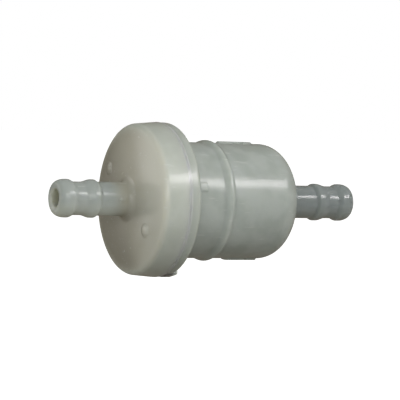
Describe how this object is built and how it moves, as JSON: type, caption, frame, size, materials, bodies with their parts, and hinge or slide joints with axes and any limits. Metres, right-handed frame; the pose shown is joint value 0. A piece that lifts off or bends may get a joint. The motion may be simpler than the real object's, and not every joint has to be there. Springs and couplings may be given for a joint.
{
  "type": "inline fuel filter",
  "caption": "Sealed inline fuel filter: flanged cap and domed canister of milky nylon, barbed hose nipple at each end, pleated paper element inside.",
  "frame": {"origin": "mid-length of the filter, on its flow axis", "axes": "+X along the flow axis from inlet to outlet, +Z towards the raised flow arrow on the top of the canister"},
  "size_m": [0.076, 0.035, 0.0351],
  "materials": {
    "cap_nylon": "milky translucent nylon, semi-gloss",
    "canister_nylon": "milky translucent nylon, semi-gloss",
    "filter_paper": "resin-treated pleated paper",
    "clip_steel": "tinned",
    "core_plastic": "natural",
    "disc_plastic": "matt",
    "potting_adhesive": "cured adhesive",
    "seal_rubber": "smooth"
  },
  "bodies": {
    "root": {"inlet_cap": "cap_nylon", "canister": "canister_nylon", "pleated_paper": "filter_paper", "seam_clip": "clip_steel", "core_tube": "core_plastic", "closed_end_disc": "disc_plastic", "open_end_disc": "disc_plastic", "inlet_potting": "potting_adhesive", "outlet_potting": "potting_adhesive", "spigot_seal": "seal_rubber"}
  },
  "joints": []
}
